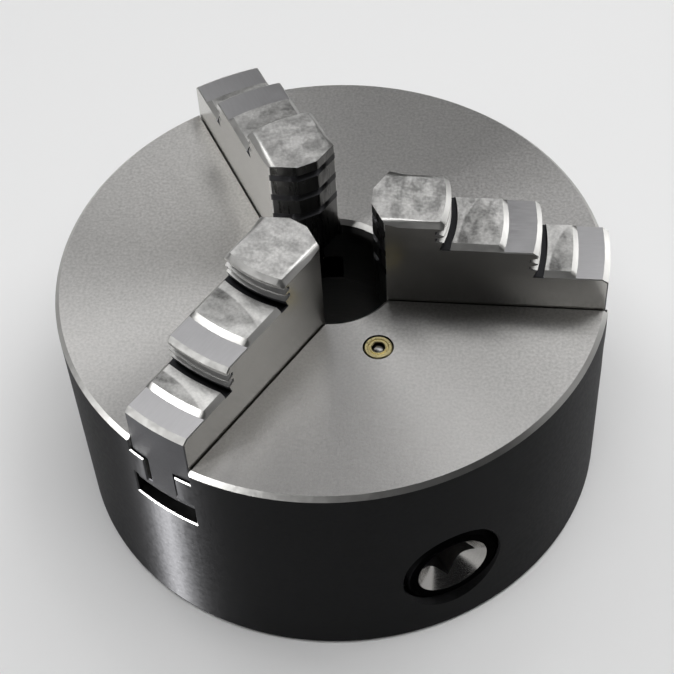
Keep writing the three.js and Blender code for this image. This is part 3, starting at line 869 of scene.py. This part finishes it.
def tier_wall(radius, top, foot, drop):
    """Outer wall of a tier from its foot up: relief groove, two serrations and the edge chamfer; the groove,
    the wall up to the first serration and the serrations' backs and upper faces get the dark look as painted
    shade.
    """
    points = [
        # painted shade: the relief groove and the wall up to the first serration take the dark look
        (radius + 1.4, foot, ARC, PAD_DROP, DARK_AND_SHADE),
        (radius + 1.3, foot - RELIEF_DEPTH, ARC, 0, DARK_AND_SHADE),
        (radius - 0.6, foot - RELIEF_DEPTH, ARC, 0, DARK_AND_SHADE),
    ]
    pitch = (top - foot - 2.1) / 2
    for i in (1, 0):
        edge = top - 1.7 - i * pitch
        points.append((radius, edge - pitch * 0.8, ARC, 0, BRIGHT))
        # painted shade: the back and upper face of each serration take the dark look, the lower face stays
        # bright
        points.append((radius - NOTCH_DEPTH, edge - pitch * 0.55, ARC, 0, DARK_AND_SHADE))
        points.append((radius - NOTCH_DEPTH, edge - pitch * 0.25, ARC, 0, DARK_AND_SHADE))
        points.append((radius, edge, ARC, 0, TURNED))
    points.append((radius, top - 0.9, ARC, drop / 2, BRIGHT))
    points.append((radius - WALL_CHAMFER, top, ARC, drop, MILLED if drop else PAD))
    return points


def jaw_section():
    """Side view of the jaw over its guide neck, counter-clockwise: radius, height, kind, side drop, look."""
    base = RAIL_TOP + 0.2 - BODY_HEIGHT
    points = [
        (NOSE, base, FRONT, 0, GROUND),
        (END_3, base, ARC, 0, DARK_AND_SHADE),
        (END_3, TOP_3 - PAD_DROP - 1.0, ARC, 0, BRIGHT),
        (END_3 - 1.3, TOP_3 - PAD_DROP, ARC, 0, PAD),
        (PAD_3 + PAD_DROP, TOP_3 - PAD_DROP, ARC, 0, BRIGHT),
        (PAD_3, TOP_3, ARC, PAD_DROP, MILLED),
        *tier_wall(END_2, TOP_2 - PAD_DROP, TOP_3, 0),
        (PAD_2 + PAD_DROP, TOP_2 - PAD_DROP, ARC, 0, BRIGHT),
        (PAD_2, TOP_2, ARC, PAD_DROP, MILLED),
        *tier_wall(END_1, TOP_1, TOP_2, PAD_DROP),
        (NOSE + 8, TOP_1, ARC, PAD_DROP, MILLED),
        (NOSE, TOP_1, FRONT, 0.1, FLANK),
    ]
    for height in NOSE_GROOVES:
        # painted shade: both faces of each V groove take the dark look
        points.append((NOSE, height + VEE_HALF, FRONT, 0, DARK_AND_SHADE))
        points.append((NOSE + VEE_DEPTH, height, NOTCH, 0, DARK_AND_SHADE))
        points.append((NOSE, height - VEE_HALF, FRONT, 0, FLANK))
    return points


def section_at(y, points):
    """The section at a place across the jaw, as (x, z) points."""
    share = max(0, abs(y) - JAW_HALF + SIDE_CHAMFER) / SIDE_CHAMFER
    outline = []
    for radius, height, kind, drop, _ in points:
        x = {
            ARC: sqrt(radius * radius - y * y),
            FRONT: nose_front(y) + radius - NOSE,
            NOTCH: max(nose_front(y), radius),
        }[kind]
        outline.append((x, BODY_HEIGHT + height - drop * share))
    return outline


def jaw_upper():
    points = jaw_section()
    notch_end = NOSE_HALF + VEE_DEPTH / FLANK_SLOPE
    chamfer_start = JAW_HALF - SIDE_CHAMFER
    half = [1.2, 2.0, NOSE_HALF, 2.6, 3.4, 4.3, notch_end, 6.1, chamfer_start, 7.3, JAW_HALF - EDGE_BREAK]
    across = [-y for y in reversed(half)] + [0] + half
    rings = []
    for y in across:
        rings.append([(x, y, z) for x, z in section_at(y, points)])
    for side, at in ((-1, 0), (1, len(rings) + 1)):
        eased = offset(section_at(half[-1], points), EDGE_BREAK)
        rings.insert(at, [(x, side * JAW_HALF, z) for x, z in eased])
    last = len(rings) - 2

    def look(j, i):
        if j in (0, last):
            return DARK_AND_SHADE if points[i][4] == DARK_AND_SHADE else BRIGHT
        on_chamfer = min(abs(rings[j][i][1]), abs(rings[j + 1][i][1])) > chamfer_start - 0.01
        return BRIGHT if points[i][4] == MILLED and on_chamfer else points[i][4]

    return loft("jaw", rings, look, GROUND)


def rack_teeth(number):
    """Curved teeth under the foot that run in the scroll's spiral groove."""
    groove = SPIRAL_PITCH - SPIRAL_RIDGE
    half = groove / 2 - 0.39
    radius = (SPIRAL_START + SPIRAL_RIDGE + groove / 2 + SPIRAL_PITCH * number / 3) % SPIRAL_PITCH
    across = [(FLANGE_HALF - 0.1) * (i / 6 - 1) for i in range(13)]

    def bends(y):
        return [(SPIRAL_PITCH * y / (2 * pi) - y * y / 2) / r for r in (SCROLL_BORE, SCROLL_RADIUS)]

    teeth = []
    while radius < TEETH_END:
        if radius > FOOT_START + 4:
            outer = [(radius + half + min(bends(y)), y) for y in across]
            inner = [(radius - half + max(bends(y)), y) for y in across]
            outline = outer + inner[::-1]
            teeth.append(prism("tooth", outline, SCROLL_ROOT + 0.3, CAVITY_TOP + 0.6, 0.15, TURNED, BRIGHT))
        radius += SPIRAL_PITCH
    return joined(teeth)


def lower_looks(obj, end):
    """Gives the outer end of the flange the same dark finish as the jaw's end."""
    for face in obj.data.polygons:
        if face.normal.x > 0.5 and hypot(face.center.x, face.center.y) > end - 1:
            face.material_index = DARK_AND_SHADE
    return obj


def jaw(number, looks):
    piece = jaw_upper()
    waist = wedge_outline(NOSE + 2, 1, NECK_HALF, END_3)
    neck = prism("neck", waist, RAIL_UNDERSIDE - 1, RAIL_TOP + 1, 0, DARK_AND_SHADE)
    flange = wedge_outline(FOOT_START, 3, FLANGE_HALF, END_3)
    foot = prism("flange", flange, CAVITY_TOP + 0.2, RAIL_UNDERSIDE - 0.3, EDGE_BREAK, GROUND, BRIGHT)
    lower = [neck, lower_looks(foot, END_3), rack_teeth(number)]
    own = [milled_top_material(number + 1), *looks]
    combine(piece, lower, "UNION", own)
    finished(piece, f"jaw_{number + 1}_finished", own)
    piece.matrix_world = about_z(JAW_ANGLES[number])
    placed(piece, f"jaw_{number + 1}", "jaw_steel", f"jaw_{number + 1}")


# ---------------------------------------------------------------- pinions

SINK, OXIDE, STEEL = range(3)


def pinion_outline():
    """Bevel gear outline at the outer end: teeth with slightly rounded flanks on the root circle."""
    flank = [                                # radius, and place as a share of the pitch
        (GEAR_PITCH - DEDENDUM, -0.25),
        (GEAR_PITCH - 0.6, -0.19),
        (GEAR_PITCH + 0.6, -0.12),
        (GEAR_PITCH + ADDENDUM, -0.05),
    ]
    tooth = flank + [(radius, -share) for radius, share in reversed(flank)]
    outline = []
    for i in range(PINION_TEETH):
        outline += [on_circle(radius, (i + share) * 360 / PINION_TEETH) for radius, share in tooth]
    return outline


def pinion(number, looks):
    shank = spindle("pinion", [
        (SHANK_RADIUS - 0.5, SHANK_START),
        (SHANK_RADIUS, SHANK_START + 0.5),
        (SHANK_RADIUS, GROOVE_AT - GROOVE_HALF),
        (GROOVE_RADIUS, GROOVE_AT - GROOVE_HALF),
        (GROOVE_RADIUS, GROOVE_AT + GROOVE_HALF),
        (SHANK_RADIUS, GROOVE_AT + GROOVE_HALF),
        (SHANK_RADIUS, PINION_FACE - 0.9),
        (SHANK_RADIUS - 0.9, PINION_FACE),
    ], 96, look=[STEEL] * 6 + [OXIDE, OXIDE])
    rings = []
    for z in (GEAR_INNER, GEAR_OUTER):
        rings.append([(x * z / GEAR_OUTER, y * z / GEAR_OUTER, z) for x, y in pinion_outline()])
    gear = loft("gear", rings, STEEL, STEEL)
    root = GEAR_PITCH - DEDENDUM
    neck = rod("neck", root - 0.02, GEAR_OUTER - 2, SHANK_START + 0.5, look=STEEL)
    journal = spindle("journal", [
        (JOURNAL_RADIUS - 0.4, JOURNAL_END),
        (JOURNAL_RADIUS, JOURNAL_END + 0.4),
        (JOURNAL_RADIUS, GEAR_INNER + 4),
    ], look=STEEL)
    combine(shank, [neck, gear, journal], "UNION", looks)
    half = KEY_SOCKET / 2
    bottom = PINION_FACE - KEY_SOCKET_DEPTH
    socket = moved(block("cut", -half, half, -half, half, bottom, PINION_FACE + 1, STEEL), about_z(45))
    depth = COUNTERSINK_RADIUS - half
    narrow, wide = half - 0.5, COUNTERSINK_RADIUS + 0.5
    sink = rod("cut", narrow, PINION_FACE - depth - 0.5, PINION_FACE + 0.5, sides=96, top=wide, look=SINK)
    combine(shank, [socket, sink], "DIFFERENCE", looks)
    finished(shank, f"pinion_{number + 1}_finished", looks)
    lay = Matrix.Translation((0, 0, PINION_AXIS_Z * MM)) @ Matrix.Rotation(pi / 2, 4, "Y")
    shank.matrix_world = about_z(PINION_ANGLES[number]) @ lay
    placed(shank, f"pinion_{number + 1}", "hardened_steel", f"pinion_{number + 1}")


# ---------------------------------------------------------------- scroll plate

def crown_height(radius, raise_by):
    """Height of a cone through the point where the gears' pitch cones meet."""
    return PINION_AXIS_Z + (GEAR_PITCH + raise_by) * radius / GEAR_OUTER


def crown_tooth(angle):
    """One tooth of the crown gear; its points are a raise over the pitch cone and a share of the pitch."""
    half = [(DEDENDUM + 0.4, 0.27), (0, 0.2), (-ADDENDUM, 0.1)]
    outline = half + [(raise_by, -share) for raise_by, share in reversed(half)]
    pitch = 360 / CROWN_TEETH
    rings = []
    for radius in (GEAR_INNER, GEAR_OUTER):
        ring = []
        for raise_by, share in outline:
            ring.append((*on_circle(radius, angle + share * pitch), crown_height(radius, raise_by)))
        rings.append(ring)
    return loft("tooth", rings)


def spiral_ridge():
    """The spiral of square section that drives the jaws; its radius grows counter-clockwise."""
    first = 360 * 1.6 / SPIRAL_PITCH
    last = 360 * (SCROLL_RADIUS - SCROLL_BORE + 0.6) / SPIRAL_PITCH
    steps = round((last - first) / 3)
    rings = []
    for i in range(steps + 1):
        turn = first + (last - first) * i / steps
        radius = SPIRAL_START + SPIRAL_PITCH * turn / 360
        section = [
            (radius, SCROLL_ROOT - 1),
            (radius + SPIRAL_RIDGE, SCROLL_ROOT - 1),
            (radius + SPIRAL_RIDGE, SCROLL_TIP - EDGE_BREAK),
            (radius + SPIRAL_RIDGE - EDGE_BREAK, SCROLL_TIP),
            (radius + EDGE_BREAK, SCROLL_TIP),
            (radius, SCROLL_TIP - EDGE_BREAK),
        ]
        rings.append([(*on_circle(r, turn), z) for r, z in section])
    return loft("ridge", rings)


def scroll_plate(looks):
    disc = ring_solid("scroll", [
        (SCROLL_BORE, SCROLL_SEAT),
        (SCROLL_SEAT_RADIUS, SCROLL_SEAT),
        (SCROLL_SEAT_RADIUS, crown_height(SCROLL_SEAT_RADIUS, DEDENDUM)),
        (SCROLL_RADIUS, crown_height(SCROLL_RADIUS, DEDENDUM)),
        (SCROLL_RADIUS, SCROLL_ROOT),
        (SCROLL_BORE, SCROLL_ROOT),
    ])
    rim = ring_solid("rim", [
        (SCROLL_BORE, SCROLL_ROOT - 2),
        (SCROLL_RADIUS, SCROLL_ROOT - 2),
        (SCROLL_RADIUS, SCROLL_TIP + 1),
        (SCROLL_BORE, SCROLL_TIP + 1),
    ])
    ridge = combine(spiral_ridge(), [rim], "INTERSECT", looks)
    teeth = joined([crown_tooth(360 * i / CROWN_TEETH) for i in range(CROWN_TEETH)])
    combine(disc, [ridge, teeth], "UNION", looks)
    placed(finished(disc, "scroll_plate_finished", looks), "scroll", "hardened_steel", "scroll_plate")


# ---------------------------------------------------------------- rear cover and screws

def back_cover(looks):
    cover = ring_solid("cover", [
        (BORE_RADIUS, COVER_REAR + 0.5),
        (BORE_RADIUS + 0.5, COVER_REAR),
        (CAVITY_RADIUS - 0.8, COVER_REAR),
        (CAVITY_RADIUS - 0.3, COVER_REAR + 0.5),
        (CAVITY_RADIUS - 0.3, COVER_FRONT),
        (COLLAR_OUTER, COVER_FRONT),
        (COLLAR_OUTER, COLLAR_FRONT),
        (COLLAR_INNER, COLLAR_FRONT),
        (COLLAR_INNER, COVER_FRONT),
        (BORE_RADIUS, COVER_FRONT),
    ], look=[1, 0, 1, 0, 0, 0, 0, 0, 0, 0])
    notch = JOURNAL_RADIUS + 0.5
    cuts = []
    for angle in PINION_ANGLES:
        cut = block("cut", 25, 36, -notch, notch, PINION_AXIS_Z - notch, COLLAR_FRONT + 1)
        cuts.append(moved(cut, about_z(angle)))
    head = COVER_HEAD_RADIUS + 0.3
    shank = COVER_SHANK_RADIUS + 0.3
    seat = COVER_REAR + COVER_HEAD_HEIGHT + 0.3
    for angle in JAW_ANGLES:
        profile = [
            (head + 1.4, COVER_REAR - 1),
            (head, COVER_REAR + 0.4),
            (head, seat),
            (shank, seat),
            (shank, COVER_FRONT + 1),
        ]
        cuts.append(spindle("cut", profile, 64, on_circle(COVER_SCREW_CIRCLE, angle), [1, 0, 0, 0]))
    combine(cover, cuts, "DIFFERENCE", looks)
    placed(finished(cover, "back_cover_finished", looks), "chuck", "cover_steel", "back_cover")


def screw(name, profile, at, socket_depth, looks):
    """A screw with its head or end towards the rear and a hexagon socket in it."""
    piece = spindle("screw", profile, 64, at)
    z = profile[0][1]
    socket = rod("cut", HEX_RADIUS, z - 1, z + socket_depth, at, 6, turn=30)
    mouth = rod("cut", HEX_RADIUS + 0.35, z - 0.2, z + 0.25, at, 48, top=HEX_RADIUS - 0.1)
    combine(piece, [socket, mouth], "DIFFERENCE", looks)
    placed(finished(piece, f"{name}_finished", looks), "chuck", "screw_steel", name)


def screws(looks):
    head_end = COVER_REAR + COVER_HEAD_HEIGHT
    for number in range(3):
        screw(f"cover_screw_{number + 1}", [
            (COVER_HEAD_RADIUS - 0.35, COVER_REAR),
            (COVER_HEAD_RADIUS, COVER_REAR + 0.35),
            (COVER_HEAD_RADIUS, head_end),
            (COVER_SHANK_RADIUS, head_end),
            (COVER_SHANK_RADIUS, COVER_SCREW_END - 0.4),
            (COVER_SHANK_RADIUS - 0.4, COVER_SCREW_END),
        ], on_circle(COVER_SCREW_CIRCLE, JAW_ANGLES[number]), COVER_SOCKET_DEPTH, looks)
        screw(f"pinion_retaining_screw_{number + 1}", [
            (RETAINING_RADIUS - 0.3, RETAINING_START),
            (RETAINING_RADIUS, RETAINING_START + 0.3),
            (RETAINING_RADIUS, DOG_START - 0.3),
            (DOG_RADIUS, DOG_START),
            (DOG_RADIUS, DOG_END - 0.3),
            (DOG_RADIUS - 0.3, DOG_END),
        ], on_circle(GROOVE_AT, PINION_ANGLES[number]), RETAINING_SOCKET_DEPTH, looks)


# ---------------------------------------------------------------- oil nipple

def spring_coil():
    """Round wire wound from the foot of the oiler's bore up to the underside of the ball."""
    low = SPRING_FOOT + SPRING_WIRE
    rings = []
    per_turn = 24
    steps = per_turn * SPRING_TURNS
    for j in range(steps + 1):
        turn = 360 * j / per_turn
        z = low + (SPRING_TOP - SPRING_WIRE - low) * j / steps
        ring = []
        for i in range(8):
            out, up = on_circle(SPRING_WIRE, 45 * i)
            ring.append((*on_circle(SPRING_RADIUS + out, turn), z + up))
        rings.append(ring)
    return loft("spring", rings)


def nipple(brass, steel):
    """The ball oiler in the face: a cup with a ringed head, the ball under its hole, and the spring."""
    face = BODY_HEIGHT - 0.02
    body = ring_solid("nipple", [
        (DRAIN_RADIUS, NIPPLE_BOTTOM),
        (NIPPLE_RADIUS, NIPPLE_BOTTOM),
        (NIPPLE_RADIUS, face - 0.25),
        (NIPPLE_RADIUS - 0.25, face),
        (2.35, face),
        (2.2, face - 0.2),
        (1.95, face - 0.2),
        (1.85, face),
        (1.6, face),
        (OIL_HOLE_RADIUS, face - 0.2),
        (NIPPLE_BORE, face - 1.1),
        (NIPPLE_BORE, NIPPLE_BOTTOM + NIPPLE_FLOOR),
        (DRAIN_RADIUS, NIPPLE_BOTTOM + NIPPLE_FLOOR),
    ], 96)
    x, y = on_circle(NIPPLE_CIRCLE * MM, NIPPLE_ANGLE)
    finished(body, "oil_nipple_finished", [brass])
    body.matrix_world = Matrix.Translation((x, y, 0))
    placed(body, "chuck", "nipple_brass", "oil_nipple_body")
    steps = 16
    profile = []
    for i in range(steps):
        profile.append(on_circle(BALL_RADIUS, -90 + 180 * (i + 0.5) / steps))
    ball = spindle("ball", [(radius, BALL_HEIGHT + z) for radius, z in profile], 32)
    finished(ball, "oil_nipple_ball_finished", [steel])
    ball.matrix_world = Matrix.Translation((x, y, 0))
    placed(ball, "oil_ball", "hardened_steel", "oil_nipple_ball")
    spring = finished(spring_coil(), "oil_nipple_spring_finished", [steel])
    spring.matrix_world = Matrix.Translation((x, y, 0))
    placed(spring, "chuck", "hardened_steel", "oil_nipple_spring")
    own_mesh(spring)


# ---------------------------------------------------------------- assembly

add_camera()
add_studio()
steel = hardened_material()
edge = bright_edge_material()
oxide = oxide_material()
countersink = countersink_material()
dark = dark_wall_material()
chuck_body()
jaw_looks = [
    ground_pad_material(),
    ground_side_material(),
    dark_end_material(),
    edge,
    turned_wall_material(),
    nose_flank_material(),
]
for index in range(3):
    jaw(index, jaw_looks)
    pinion(index, [countersink, oxide, steel])
scroll_plate([steel])
back_cover([dark, edge])
screws([oxide])
nipple(brass_material(), steel)
